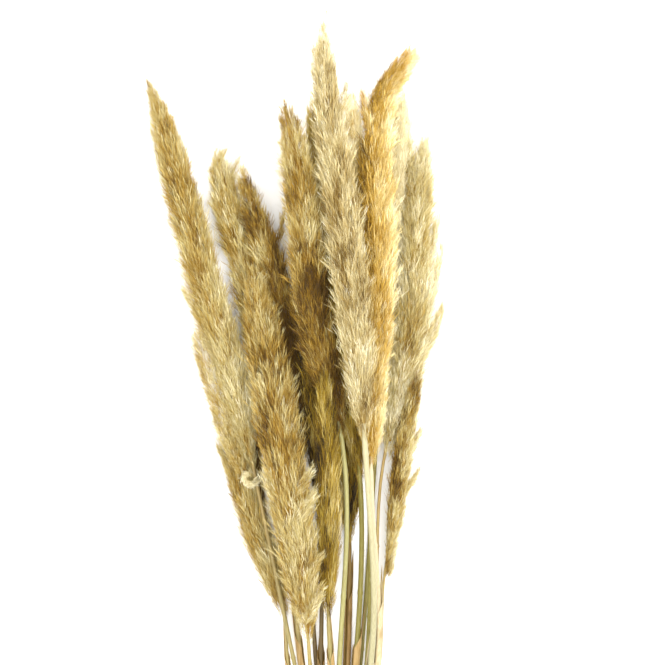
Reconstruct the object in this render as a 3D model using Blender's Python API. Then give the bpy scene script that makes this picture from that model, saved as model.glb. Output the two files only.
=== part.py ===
"""Bundle of dried pampas grass: plumed stalks lying on a floor, tied by a rubber band.

The stalks run along +Y, from their cut ends to the tips of their plumes. Seen from above,
each follows its own line. Their heights come from laying them down one after another.
"""

import math
from typing import NamedTuple

import bpy
import numpy as np

# Driving dimensions, in metres.
CUT_Y = -0.425  # the longest stalk's cut end
TIE_Y = -0.340  # the middle of the band, which is one of the stations
NECK_Y = -0.180  # where the canes have fanned out above the band
STATION_STEP = 0.020  # spacing of the cross-sections that all pieces share
FIRST_Y, LAST_Y = -0.46, 0.44  # the stations' ends, beyond the longest stalk's
NEAREST = 0.002  # a piece has no section closer than this to its end
GAP = 0.0003  # clearance between pieces that touch
LAYING_GAP = 0.0006  # clearance that the stalks are laid with

SAG = 60.0  # a stalk's weight per length over its stiffness against bending, per cubic metre
TIE_ROWS = (4, 5, 4, 3)  # canes in each row inside the band, from the floor up
TIE_PITCH = 0.0056  # spacing of the canes in a row
CUT_SPREAD = 1.35  # how much wider the canes stand at their cut ends than in the band

BAND_WIDTH = 0.009
BAND_THICKNESS = 0.0015
BAND_SIDES = 24
SHARP_ANGLE = math.radians(50)  # edges sharper than this stay crisp when shaded

PLUME_FLATNESS = 0.74  # a lying plume's height over its width
PLUME_SIDES = 8
CANE_SIDES = 6
CANE_TAPER = 0.80  # the cane's width under its plume over its width at the cut
SHEATH_WALL = 0.0007
SHEATH_MOUTH = 1.20  # how far the sheath's upper end flares

# A plume's width along its length, from its base (0) to its tip (1).
PLUME_PLACES = (0.0, 0.05, 0.12, 0.25, 0.45, 0.65, 0.82, 0.94, 1.0)
PLUME_WIDTHS = (0.16, 0.46, 0.70, 0.90, 1.0, 0.97, 0.80, 0.50, 0.10)


class Stalk(NamedTuple):
    """One stalk seen from above, in metres."""

    line: tuple  # points (x, y) that the plume runs through, from its tip to its base
    neck_x: float  # x of the cane at NECK_Y
    plume: float  # the plume's greatest width
    cane: float  # the cane's width at its cut end
    cut_short: float  # how far its cut end is from the longest one's
    sheath: tuple = ()  # y where its leaf sheath starts and ends, if one is left


# In the order in which they are laid, from the floor up.
STALKS = (
    Stalk(
        line=((-0.104, 0.286), (-0.098, 0.240), (-0.086, 0.194), (-0.050, 0.023)),
        neck_x=-0.030, plume=0.034, cane=0.0050, cut_short=0.006, sheath=(-0.280, -0.150),
    ),
    Stalk(
        line=((-0.079, 0.265), (-0.055, 0.180), (-0.032, 0.032)),
        neck_x=-0.016, plume=0.030, cane=0.0048, cut_short=0.014,
    ),
    Stalk(
        line=((0.005, 0.202), (0.013, 0.060), (0.015, -0.080)),
        neck_x=0.013, plume=0.026, cane=0.0056, cut_short=0.002, sheath=(-0.270, -0.110),
    ),
    Stalk(
        line=((0.063, 0.336), (0.061, 0.286), (0.052, 0.215), (0.045, 0.090), (0.040, 0.018)),
        neck_x=0.026, plume=0.028, cane=0.0048, cut_short=0.010,
    ),
    Stalk(
        line=((0.083, 0.293), (0.079, 0.215), (0.075, 0.150), (0.058, 0.060), (0.046, 0.0)),
        neck_x=0.037, plume=0.034, cane=0.0036, cut_short=0.004,
    ),
    Stalk(
        line=((0.078, 0.079), (0.065, 0.006), (0.054, -0.060), (0.047, -0.107)),
        neck_x=0.044, plume=0.024, cane=0.0028, cut_short=0.008,
    ),
    Stalk(
        line=((-0.029, 0.225), (-0.017, 0.090), (-0.010, -0.060)),
        neck_x=-0.011, plume=0.028, cane=0.0050, cut_short=0.012, sheath=(-0.280, -0.165),
    ),
    Stalk(
        line=((-0.018, 0.324), (-0.004, 0.170), (0.025, -0.020)),
        neck_x=0.021, plume=0.028, cane=0.0058, cut_short=0.0, sheath=(-0.285, -0.152),
    ),
    Stalk(
        line=((-0.044, 0.323), (-0.037, 0.297), (-0.026, 0.225), (-0.017, 0.130), (0.008, 0.022)),
        neck_x=0.006, plume=0.032, cane=0.0054, cut_short=0.009,
    ),
    Stalk(
        line=((0.017, 0.332), (0.020, 0.190), (0.031, 0.012)),
        neck_x=0.031, plume=0.026, cane=0.0046, cut_short=0.005,
    ),
    Stalk(
        line=((-0.101, 0.056), (-0.078, -0.040), (-0.044, -0.148)),
        neck_x=-0.042, plume=0.028, cane=0.0036, cut_short=0.013, sheath=(-0.275, -0.168),
    ),
    Stalk(
        line=((-0.008, 0.082), (-0.004, -0.030), (-0.004, -0.146)),
        neck_x=-0.002, plume=0.022, cane=0.0052, cut_short=0.003, sheath=(-0.290, -0.158),
    ),
    Stalk(
        line=((-0.164, 0.344), (-0.143, 0.280), (-0.109, 0.158), (-0.072, -0.008)),
        neck_x=-0.036, plume=0.033, cane=0.0044, cut_short=0.007,
    ),
    Stalk(
        line=((0.071, 0.367), (0.055, 0.350), (0.043, 0.312), (0.039, 0.180), (0.034, -0.006)),
        neck_x=0.040, plume=0.031, cane=0.0056, cut_short=0.011, sheath=(-0.280, -0.118),
    ),
    Stalk(
        line=((-0.073, 0.179), (-0.062, 0.110), (-0.045, 0.008), (-0.022, -0.163)),
        neck_x=-0.021, plume=0.041, cane=0.0044, cut_short=0.001, sheath=(-0.290, -0.186),
    ),
    Stalk(
        line=((-0.010, 0.394), (-0.004, 0.320), (0.010, 0.205), (0.028, 0.022)),
        neck_x=0.034, plume=0.036, cane=0.0064, cut_short=0.008, sheath=(-0.285, -0.170),
    ),
)

# Base colour (linear), roughness.
PLUME_LOOK = ((0.62, 0.46, 0.20, 1.0), 0.9)
CANE_LOOK = ((0.56, 0.52, 0.25, 1.0), 0.55)
SHEATH_LOOK = ((0.58, 0.42, 0.18, 1.0), 0.65)
BAND_LOOK = ((0.50, 0.33, 0.15, 1.0), 0.6)

STATIONS = np.arange(round(FIRST_Y / STATION_STEP), round(LAST_Y / STATION_STEP) + 1) * STATION_STEP
ACROSS = np.linspace(-1.0, 1.0, 61)  # places across a section, in half widths
TIE_STATION = int(np.argmin(np.abs(STATIONS - TIE_Y)))
SWEEPS = 1500  # rounds in which a laid stalk comes to rest
OVERSHOOT = 1.7  # makes those rounds converge sooner


def smooth_through(places, values, at):
    """A smooth curve through the given points, read at one place, or carried on past its ends."""
    slopes = np.gradient(values, places)
    piece = np.clip(np.searchsorted(places, at) - 1, 0, len(places) - 2)
    length = places[piece + 1] - places[piece]
    t = (at - places[piece]) / length
    start, end = values[piece], values[piece + 1]
    start_slope, end_slope = slopes[piece] * length, slopes[piece + 1] * length
    return (
        (2 * t**3 - 3 * t**2 + 1) * start
        + (t**3 - 2 * t**2 + t) * start_slope
        + (3 * t**2 - 2 * t**3) * end
        + (t**3 - t**2) * end_slope
    )


def tie_places():
    """Each stalk's x inside the band: the rows fill from the floor up, in the order of laying."""
    places = [0.0] * len(STALKS)
    first = 0
    for count in TIE_ROWS:
        members = sorted(range(first, first + count), key=lambda i: STALKS[i].neck_x)
        for k, member in enumerate(members):
            places[member] = (k - (count - 1) / 2) * TIE_PITCH
        first += count
    return places


class Laid:
    """A stalk with its line, its sections and, once it is laid, its height at each station."""

    def __init__(self, stalk, tie_x):
        self.stalk = stalk
        self.cut_y = CUT_Y + stalk.cut_short
        self.base_y, self.tip_y = stalk.line[-1][1], stalk.line[0][1]
        below = ((CUT_SPREAD * tie_x, CUT_Y), (tie_x, TIE_Y), (stalk.neck_x, NECK_Y))
        self.route = np.array(below + stalk.line[::-1])
        self.height = None
        self.present = [spans((self.cut_y, self.tip_y), y) for y in STATIONS]

    def x(self, y):
        return float(smooth_through(self.route[:, 1], self.route[:, 0], y))

    def cane_radius(self, y):
        taper = np.interp(y, (self.cut_y, self.base_y), (1.0, CANE_TAPER))
        return self.stalk.cane / 2 * taper

    def sheath_radii(self, y):
        """The inner and outer radius of the leaf sheath."""
        start, end = self.stalk.sheath
        flare = np.interp(y, (start, end), (1.0, SHEATH_MOUTH))
        side = math.cos(math.pi / CANE_SIDES)
        inner = self.cane_radius(y) * flare + GAP / side
        return inner, inner + SHEATH_WALL / side

    def plume_half_width(self, y):
        place = (y - self.base_y) / (self.tip_y - self.base_y)
        return self.stalk.plume / 2 * np.interp(place, PLUME_PLACES, PLUME_WIDTHS)

    def half_sizes(self, y):
        """Half the width and half the height that the stalk needs at a station."""
        radius = self.cane_radius(y)
        if self.stalk.sheath and spans(self.stalk.sheath, y):
            radius = self.sheath_radii(y)[1]
        if y < self.base_y - STATION_STEP:
            return radius, radius
        half_width = self.plume_half_width(y)
        return max(half_width, radius), max(half_width * PLUME_FLATNESS, radius)

    def z(self, y):
        return np.interp(y, STATIONS, self.height)


def spans(ends, y):
    """Whether a piece between these ends counts at a station: also at the one past each end."""
    return ends[0] - STATION_STEP < y < ends[1] + STATION_STEP


def floor_clearance(y):
    """The lowest that a piece reaches: the floor, or the band's lower side."""
    under_band = abs(y - TIE_Y) < BAND_WIDTH / 2 + STATION_STEP
    return BAND_THICKNESS + 2 * GAP if under_band else 0.0


def rest_height(station, this, laid):
    """The lowest centre height at which a section clears the floor and what is laid already."""
    y = STATIONS[station]
    half_width, half_height = this.half_sizes(y)
    height = floor_clearance(y) + half_height
    across = this.x(y) + (half_width + LAYING_GAP) * ACROSS
    below_centre = (half_height + LAYING_GAP) * np.sqrt(1 - ACROSS**2)
    for other in laid:
        if not other.present[station]:
            continue
        other_width, other_height = other.half_sizes(y)
        offset = (across - other.x(y)) / other_width
        over = np.abs(offset) < 1
        if over.any():
            top = other.height[station] + other_height * np.sqrt(1 - offset[over] ** 2)
            height = max(height, float((top + below_centre[over]).max()))
    return height


def settle(needed, held):
    """The line of a springy stalk that its weight presses down on its supports.

    It can rise at each station but the one where the band holds it down.
    """
    bend = np.diff(np.eye(len(needed)), 2, axis=0)
    stiffness = bend.T @ bend
    weight = SAG * STATION_STEP**4
    line = needed.copy()
    free = [k for k in range(len(needed)) if k != held]
    for _ in range(SWEEPS):
        for k in free:
            push = (stiffness[k] @ line + weight) / stiffness[k, k]
            line[k] = max(line[k] - OVERSHOOT * push, needed[k])
    return line


def lay_stalks():
    """Lays every stalk on the ones before it."""
    laid = []
    for stalk, tie_x in zip(STALKS, tie_places()):
        this = Laid(stalk, tie_x)
        stations = np.flatnonzero(this.present)
        needed = np.array([rest_height(station, this, laid) for station in stations])
        line = settle(needed, TIE_STATION - stations[0])
        this.height = np.interp(STATIONS, STATIONS[stations], line)
        laid.append(this)
    return laid


def stations_between(start, end):
    """The shared stations between two ends, with the ends themselves."""
    inside = STATIONS[(STATIONS > start + NEAREST) & (STATIONS < end - NEAREST)]
    return np.concatenate(([start], inside, [end]))


def ring(centre_x, y, centre_z, half_width, half_height, sides):
    turn = 2 * math.pi * (np.arange(sides) + 0.5) / sides
    return [
        (centre_x + half_width * math.cos(a), y, centre_z + half_height * math.sin(a)) for a in turn
    ]


def solid_from_rings(rings):
    """Vertices and faces of a solid with flat ends, from rings that run along +Y."""
    sides = len(rings[0])
    vertices = [point for one in rings for point in one]
    faces = [tuple(range(sides)), tuple(reversed(range((len(rings) - 1) * sides, len(vertices))))]
    faces += side_faces(range(len(rings) - 1), sides)
    return vertices, faces


def side_faces(rings, sides):
    """Faces between each of these rings, given by number, and the next one."""
    faces = []
    for index in rings:
        for k in range(sides):
            a, b = index * sides + k, index * sides + (k + 1) % sides
            faces.append((b, a, a + sides, b + sides))
    return faces


def tube_from_rings(inner, outer):
    """Vertices and faces of a tube, from matching inner and outer rings that run along +Y."""
    sides, count = len(inner[0]), len(inner)
    vertices = [point for one in inner + outer for point in one]
    shift = count * sides
    faces = [tuple(reversed(face)) for face in side_faces(range(count - 1), sides)]
    faces += side_faces(range(count, 2 * count - 1), sides)
    last = (count - 1) * sides
    for k in range(sides):
        n = (k + 1) % sides
        faces.append((n, k, k + shift, n + shift))
        faces.append((last + k, last + n, last + n + shift, last + k + shift))
    return vertices, faces


def cane(this):
    rings = []
    for y in stations_between(this.cut_y, this.base_y - GAP):
        radius = this.cane_radius(y)
        rings.append(ring(this.x(y), y, this.z(y), radius, radius, CANE_SIDES))
    return solid_from_rings(rings)


def plume(this):
    rings = []
    for y in stations_between(this.base_y, this.tip_y):
        half_width = this.plume_half_width(y)
        half_height = half_width * PLUME_FLATNESS
        rings.append(ring(this.x(y), y, this.z(y), half_width, half_height, PLUME_SIDES))
    return solid_from_rings(rings)


def leaf_sheath(this):
    inner, outer = [], []
    for y in stations_between(*this.stalk.sheath):
        for rings, radius in zip((inner, outer), this.sheath_radii(y)):
            rings.append(ring(this.x(y), y, this.z(y), radius, radius, CANE_SIDES))
    return tube_from_rings(inner, outer)


def stretched_round(points, offset):
    """Corners of a band stretched round points (x, z), at a distance from them."""
    turn = 2 * math.pi * np.arange(BAND_SIDES) / BAND_SIDES
    directions = np.stack((np.cos(turn), np.sin(turn)), axis=1)
    reach = (points @ directions.T).max(axis=0) + offset
    corners = []
    for k in range(BAND_SIDES):
        pair = [k, (k + 1) % BAND_SIDES]
        corners.append(np.linalg.solve(directions[pair], reach[pair]))
    return corners


def rubber_band(laid):
    ends = (TIE_Y - BAND_WIDTH / 2, TIE_Y + BAND_WIDTH / 2)
    points = []
    for this in laid:
        for y in ends:
            radius = this.cane_radius(y)
            round_cane = ring(this.x(y), y, this.z(y), radius, radius, BAND_SIDES)
            points += [(x, z) for x, _, z in round_cane]
    points = np.array(points)
    tubes = []
    for offset in (GAP, GAP + BAND_THICKNESS):
        corners = stretched_round(points, offset)
        tubes.append([[(x, y, z) for x, z in corners] for y in ends])
    return tube_from_rings(*tubes)


def add_object(name, shape, shift, look):
    """One named object, with its own material."""
    vertices, faces = shape
    mesh = bpy.data.meshes.new(name)
    mesh.from_pydata([tuple(np.array(v) - shift) for v in vertices], [], faces)
    mesh.shade_smooth()
    mesh.set_sharp_from_angle(angle=SHARP_ANGLE)
    material = bpy.data.materials.new(name)
    material.use_nodes = True
    surface = material.node_tree.nodes["Principled BSDF"]
    surface.inputs["Base Color"].default_value = look[0]
    surface.inputs["Roughness"].default_value = look[1]
    mesh.materials.append(material)
    bpy.context.scene.collection.objects.link(bpy.data.objects.new(name, mesh))


def main():
    for old in list(bpy.data.objects):
        bpy.data.objects.remove(old, do_unlink=True)
    laid = lay_stalks()
    pieces = [("rubber_band", rubber_band(laid), BAND_LOOK)]
    for number, this in enumerate(laid, start=1):
        pieces.append((f"stem_{number:02d}", cane(this), CANE_LOOK))
        pieces.append((f"plume_{number:02d}", plume(this), PLUME_LOOK))
        if this.stalk.sheath:
            pieces.append((f"leaf_sheath_{number:02d}", leaf_sheath(this), SHEATH_LOOK))
    everything = np.array([v for _, (vertices, _), _ in pieces for v in vertices])
    low, high = everything.min(axis=0), everything.max(axis=0)
    shift = np.array(((low[0] + high[0]) / 2, (low[1] + high[1]) / 2, low[2]))
    for name, shape, look in pieces:
        add_object(name, shape, shift, look)


main()
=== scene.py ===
import math

import bpy
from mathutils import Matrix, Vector, noise


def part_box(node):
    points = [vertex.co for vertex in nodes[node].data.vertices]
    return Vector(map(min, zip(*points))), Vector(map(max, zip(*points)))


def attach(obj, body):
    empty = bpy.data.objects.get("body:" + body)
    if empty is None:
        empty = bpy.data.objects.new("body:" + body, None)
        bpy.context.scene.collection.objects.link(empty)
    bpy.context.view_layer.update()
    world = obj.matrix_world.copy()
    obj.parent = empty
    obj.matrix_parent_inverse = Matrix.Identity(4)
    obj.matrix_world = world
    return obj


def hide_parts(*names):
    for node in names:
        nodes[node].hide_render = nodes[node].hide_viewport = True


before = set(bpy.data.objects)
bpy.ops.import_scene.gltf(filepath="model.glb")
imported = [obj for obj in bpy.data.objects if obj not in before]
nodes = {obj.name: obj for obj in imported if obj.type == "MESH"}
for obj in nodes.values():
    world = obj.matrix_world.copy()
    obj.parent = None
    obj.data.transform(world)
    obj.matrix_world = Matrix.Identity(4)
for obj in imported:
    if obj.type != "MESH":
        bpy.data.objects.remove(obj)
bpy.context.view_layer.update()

scene = bpy.context.scene


# general helpers: short names for the kinds and settings of nodes that come up most, then functions

maths, vectors, cloud = "ShaderNodeMath", "ShaderNodeVectorMath", "ShaderNodeTexNoise"
split, join, position = "ShaderNodeSeparateXYZ", "ShaderNodeCombineXYZ", "GeometryNodeInputPosition"
store, move = "GeometryNodeStoreNamedAttribute", "GeometryNodeSetPosition"
plus, minus, times, over, timesPlus, scaled, unit, crossed = ({"operation": name} for name in (
    "ADD", "SUBTRACT", "MULTIPLY", "DIVIDE", "MULTIPLY_ADD", "SCALE", "NORMALIZE", "CROSS_PRODUCT"))
ringFit = {6: 0.866, 8: 0.924}  # half width of a CAD ring over its corners' radius, by number of sides


def linear(hexColour):
    channels = [int(hexColour[i:i + 2], 16) / 255 for i in (1, 3, 5)]
    return [c / 12.92 if c <= 0.04045 else ((c + 0.055) / 1.055) ** 2.4 for c in channels] + [1.0]


def addNode(tree, kind, settings=None, links=None):
    # a link may be given as a node, which stands for its first live output, a socket or a plain value
    node = tree.nodes.new(kind)
    for name, value in (settings or {}).items():
        setattr(node, name, value)
    for name, value in (links or {}).items():
        if isinstance(value, bpy.types.Node):
            value = next(o for o in value.outputs if o.enabled)
        if isinstance(value, bpy.types.NodeSocket):
            tree.links.new(value, node.inputs[name])
        else:
            node.inputs[name].default_value = value
    return node


def startTree(name, sizes):
    tree = bpy.data.node_groups.new(name, "GeometryNodeTree")
    kinds = {float: "NodeSocketFloat", int: "NodeSocketInt", type(None): "NodeSocketMaterial"}
    tree.interface.new_socket("Geometry", in_out="INPUT", socket_type="NodeSocketGeometry")
    tree.interface.new_socket("Geometry", in_out="OUTPUT", socket_type="NodeSocketGeometry")
    for label, value in sizes.items():
        socket = tree.interface.new_socket(label, in_out="INPUT", socket_type=kinds[type(value)])
        if value is not None:
            socket.default_value = value
    return tree, tree.nodes.new("NodeGroupInput"), tree.nodes.new("NodeGroupOutput")


def growPiece(name, guide, tree, sizes):
    # runs the tree on the guide mesh and keeps the result as a plain mesh
    piece = bpy.data.objects.new(name, guide)
    scene.collection.objects.link(piece)
    modifier = piece.modifiers.new("growth", "NODES")
    modifier.node_group = tree
    for item in tree.interface.items_tree:
        if item.in_out == "INPUT" and item.name in sizes:
            modifier[item.identifier] = sizes[item.name]
    bpy.context.view_layer.update()
    ready = piece.evaluated_get(bpy.context.evaluated_depsgraph_get())
    grown = bpy.data.meshes.new_from_object(ready)
    piece.modifiers.remove(modifier)
    piece.data = grown
    grown.name = name
    bpy.data.meshes.remove(guide)
    guides = ("lock", "hair", "cane", "line", "heart")
    for spare in [a.name for a in grown.attributes if a.name.startswith(guides)]:
        grown.attributes.remove(grown.attributes[spare])
    return piece


def startMaterial(name):
    material = bpy.data.materials.new(name)
    material.use_nodes = True
    return material, material.node_tree, material.node_tree.nodes["Principled BSDF"]


def ringsOf(nodeName):
    # centre, half width and half height of each ring of a CAD node, from the cut end upwards
    points = sorted((v.co.copy() for v in nodes[nodeName].data.vertices), key=lambda p: p.y)
    rows = []
    for p in points:
        if rows and p.y - rows[-1][-1].y < 0.0002:
            rows[-1].append(p)
        else:
            rows.append([p])
    rings = []
    for row in rows:
        xs, zs = [p.x for p in row], [p.z for p in row]
        centre = Vector(((min(xs) + max(xs)) / 2, row[0].y, (min(zs) + max(zs)) / 2))
        rings.append((centre, (max(xs) - min(xs)) / 2, (max(zs) - min(zs)) / 2))
    return rings


def lineAt(rings, y):
    # centre and half width at a place along the rings, carried on straight past the last one
    for (a, wideA, _), (b, wideB, _) in zip(rings, rings[1:]):
        if y <= b.y:
            t = max(0, (y - a.y) / (b.y - a.y))
            return a.lerp(b, t), wideA + (wideB - wideA) * t
    before, last = rings[-2][0], rings[-1][0]
    return last + (last - before) * ((y - last.y) / (last.y - before.y)), rings[-1][1]


# plumes: silky hairs in locks round a soft heart, grown by Geometry Nodes on each plume's centre line

plumeSizes = {
    "Lock Spacing": 0.00008,
    "Lock Length": 0.0190,
    "Hair Width": 0.00029,
    "Hairs per Lock": 10,
    "Splay": 0.70,
    "Curl": 0.22,
    "Bend": 0.12,
    "Reach": 0.90,
    "Ruffle": 0.20,
    "Frizz": 0.0060,
}
shadedPlumeSizes = {"Lock Spacing": 0.000095, "Lock Length": 0.027, "Splay": 0.46}
plumeHeart = {"share": 0.55, "sides": 10, "thinning": 0.35, "footShare": 0.2, "footRun": 0.06}
plumeEnds = {  # how far from its tip and foot a coat is thinner and its locks are shorter
    "thinTip": 0.022, "thinFoot": 0.025, "shortTip": 0.08, "shortFoot": 0.04, "fullHalfWidth": 0.014}
lockHabit = {
    "kinds": 6,
    "branching": 0.58,  # share of a lock's length that its hairs leave from
    "looseness": 0.0030,  # how widely their roots are strewn
    "leastTilt": 0.3,
    "shortestHair": 0.30, "hairSpread": 0.34,  # shares of the lock's length
    "leastDepth": 0.44, "depthSpread": 0.48,  # where locks start, as shares of the way out
    "leastScale": 0.75, "scaleSpread": 0.5,
    "twist": 2.4,
    "floor": 0.0004,
}
noiseScales = {  # per metre
    "puffs": 38.0, "strands": 190.0, "drift": 170.0, "patches": 70.0, "frizz": 680.0, "heart": 90.0}


def plumeTree():
    tree, given, result = startTree("plumeHairs", {
        **plumeSizes, "Tone": 0.5, "Painted Side Light": 0.0, "Patches": 0.3,
        "Scatter": 0.2, "Sweep": 0.0, "Stretch": 0.3, "Seed": 1, "Hair Material": None})
    given = given.outputs

    def add(kind, settings=None, links=None):
        return addNode(tree, kind, settings, links)

    # five draws of three random numbers each, two for the hairs of a lock and three for the locks
    hairChance, hairChanceB, chance, chanceB, chanceC = (
        add(split, links={0: add("FunctionNodeRandomValue", {"data_type": "FLOAT_VECTOR"}, {
            "Seed": add(maths, plus, {0: given["Seed"], 1: 50.0 * k})})}) for k in range(5))
    carried = {
        label: add("GeometryNodeInputNamedAttribute", {"data_type": "FLOAT"}, {"Name": label}) for label in (
            "lineWide", "lineTall", "lineScale", "lineTone", "lineFill", "hairTone", "hairAlong", "hairSide",
            "lockTone")}

    # one hair: a strip of two faces, widest half way and drawn out to a point
    grid = add("GeometryNodeMeshGrid", links={"Size X": 1.0, "Size Y": 1.0, "Vertices X": 2, "Vertices Y": 3})
    spot = add(split, links={0: add(position)})
    along = add(maths, plus, {0: spot.outputs["Y"], 1: 0.5})
    side = add(maths, times, {0: spot.outputs["X"], 1: 2.0})
    phase = add(maths, timesPlus, {0: along, 1: 0.76 * math.pi, 2: 0.24 * math.pi})
    taper = add(maths, {"operation": "SINE"}, {0: phase})
    width = add(maths, times, {0: taper, 1: given["Hair Width"]})
    across = add(maths, times, {0: width, 1: spot.outputs["X"]})
    squared = add(maths, times, {0: along, 1: along})
    sunk = add(maths, times, {0: squared, 1: given["Curl"]})
    inward = add(maths, times, {0: sunk, 1: -1.0})
    hair = add(store, {"data_type": "FLOAT", "domain": "POINT"}, {
        "Geometry": grid, "Name": "hairAlong", "Value": along})
    hair = add(store, {"data_type": "FLOAT", "domain": "POINT"}, {
        "Geometry": hair, "Name": "hairSide", "Value": side})
    hair = add(move, links={
        "Geometry": hair, "Position": add(join, links={"X": across, "Y": along, "Z": inward})})
    hair = add("GeometryNodeMergeByDistance", links={"Geometry": hair, "Distance": 0.000001})

    # locks: hairs that leave a thin branchlet all round it, in a few kinds
    count = add(maths, times, {0: given["Hairs per Lock"], 1: float(lockHabit["kinds"])})
    hairSpots = add("GeometryNodePoints", links={"Count": count})
    kind = add(maths, {"operation": "FLOOR"}, {0: add(maths, over, {
        0: add("GeometryNodeInputIndex"), 1: given["Hairs per Lock"]})})
    hairSpots = add(store, {"data_type": "INT", "domain": "POINT"}, {
        "Geometry": hairSpots, "Name": "lockKind", "Value": kind})
    hairSpots = add(store, {"data_type": "FLOAT", "domain": "POINT"}, {
        "Geometry": hairSpots, "Name": "hairTone", "Value": hairChanceB.outputs["Y"]})
    rootShare = add(maths, times, {0: hairChance.outputs["X"], 1: lockHabit["branching"]})
    rootAlong = add(maths, times, {0: rootShare, 1: given["Lock Length"]})
    loose = lockHabit["looseness"]
    looseX = add(maths, timesPlus, {0: hairChanceB.outputs["Z"], 1: loose, 2: -loose / 2})
    looseZ = add(maths, timesPlus, {0: hairChanceB.outputs["Y"], 1: loose * 0.8, 2: -loose * 0.4})
    hairSpots = add(move, links={"Geometry": hairSpots, "Position": add(
        join, links={"X": looseX, "Y": rootAlong, "Z": looseZ})})
    tilt = add(maths, times, {0: given["Splay"], 1: add(maths, timesPlus, {
        0: hairChance.outputs["Z"], 1: 1 - lockHabit["leastTilt"], 2: lockHabit["leastTilt"]})})
    turn = add(maths, times, {0: hairChance.outputs["Y"], 1: 2 * math.pi})
    aim = add("FunctionNodeEulerToRotation", links={0: add(join, links={"X": tilt, "Y": turn})})
    length = add(maths, times, {0: given["Lock Length"], 1: add(maths, timesPlus, {
        0: hairChanceB.outputs["X"], 1: lockHabit["hairSpread"], 2: lockHabit["shortestHair"]})})
    lock = add("GeometryNodeInstanceOnPoints", links={
        "Points": hairSpots, "Instance": hair, "Rotation": aim,
        "Scale": add(join, links={"X": 1.0, "Y": length, "Z": length})})
    lock = add("GeometryNodeRealizeInstances", links={"Geometry": lock})
    lockSpot = add(split, links={0: add(position)})
    share = add(maths, over, {0: lockSpot.outputs["Y"], 1: given["Lock Length"]})
    bow = add(maths, times, {0: share, 1: lockSpot.outputs["Y"]})
    lift = add(maths, times, {0: bow, 1: given["Bend"]})
    lock = add(move, links={"Geometry": lock, "Offset": add(join, links={"Z": lift})})
    kindOf = add("GeometryNodeInputNamedAttribute", {"data_type": "INT"}, {"Name": "lockKind"})
    locks = add("GeometryNodeSplitToInstances", {"domain": "POINT"}, {"Geometry": lock, "Group ID": kindOf})

    # where the locks grow: all along the centre line, at all angles and several depths
    isHeart = add("GeometryNodeInputNamedAttribute", {"data_type": "BOOLEAN"}, {"Name": "heart"})
    parted = add("GeometryNodeSeparateGeometry", {"domain": "POINT"}, {
        "Geometry": given["Geometry"], "Selection": isHeart})
    line = add("GeometryNodeMeshToCurve", links={"Mesh": parted.outputs["Inverted"]})
    spots = add("GeometryNodeCurveToPoints", {"mode": "LENGTH"}, {
        "Curve": line, "Length": given["Lock Spacing"]})
    forward = spots.outputs["Tangent"]
    sideways = add(vectors, unit, {0: add(vectors, crossed, {0: forward, 1: (0.0, 0.0, 1.0)})})
    upward = add(vectors, crossed, {0: sideways, 1: forward})
    angle = add(maths, times, {0: chance.outputs["X"], 1: 2 * math.pi})
    cosine = add(maths, {"operation": "COSINE"}, {0: angle})
    sine = add(maths, {"operation": "SINE"}, {0: angle})
    reachAcross = add(vectors, scaled, {
        0: sideways, "Scale": add(maths, times, {0: cosine, 1: carried["lineWide"]})})
    reachUp = add(vectors, scaled, {
        0: upward, "Scale": add(maths, times, {0: sine, 1: carried["lineTall"]})})
    outward = add(vectors, plus, {0: reachAcross, 1: reachUp})
    radius = add(vectors, {"operation": "LENGTH"}, {0: outward}).outputs["Value"]
    outwardUnit = add(vectors, unit, {0: outward})
    depth = add(maths, timesPlus, {
        0: chance.outputs["Y"], 1: lockHabit["depthSpread"], 2: lockHabit["leastDepth"]})
    root = add(vectors, scaled, {0: outward, "Scale": depth})
    rootSpot = add(vectors, plus, {0: add(position), 1: root})

    # how far each lock leans out, so that its tip reaches the plume's outline
    scale = add(maths, times, {0: carried["lineScale"], 1: add(maths, timesPlus, {
        0: chanceB.outputs["X"], 1: lockHabit["scaleSpread"], 2: lockHabit["leastScale"]})})
    full = add(maths, times, {0: scale, 1: given["Lock Length"]})
    stray = add(maths, {"operation": "POWER"}, {0: chance.outputs["Z"], 1: 6.0})  # few locks stray far
    puff = add(cloud, links={"Vector": add(position), "Scale": noiseScales["puffs"], "Detail": 1.0})
    stretched = add(vectors, times, {
        0: rootSpot, 1: add(join, links={"X": 1.0, "Y": given["Stretch"], "Z": 1.0})})
    strands = add(cloud, links={
        "Vector": stretched, "Scale": noiseScales["strands"], "Detail": 2.0, "Roughness": 0.6})
    reach = add(maths, plus, {0: given["Reach"], 1: add(maths, timesPlus, {0: puff, 1: 0.6, 2: -0.36})})
    reach = add(maths, plus, {0: reach, 1: add(maths, times, {0: stray, 1: 0.85})})
    reach = add(maths, plus, {0: reach, 1: add(maths, timesPlus, {0: strands, 1: 0.8, 2: -0.42})})
    gap = add(maths, times, {0: radius, 1: add(maths, minus, {0: reach, 1: depth})})
    lean = add("ShaderNodeClamp", links={
        "Value": add(maths, over, {0: gap, 1: full}), "Min": -0.05, "Max": 0.55})
    leanCos = add(maths, {"operation": "SQRT"}, {0: add(maths, minus, {
        0: 1.0, 1: add(maths, times, {0: lean, 1: lean})})})
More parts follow.
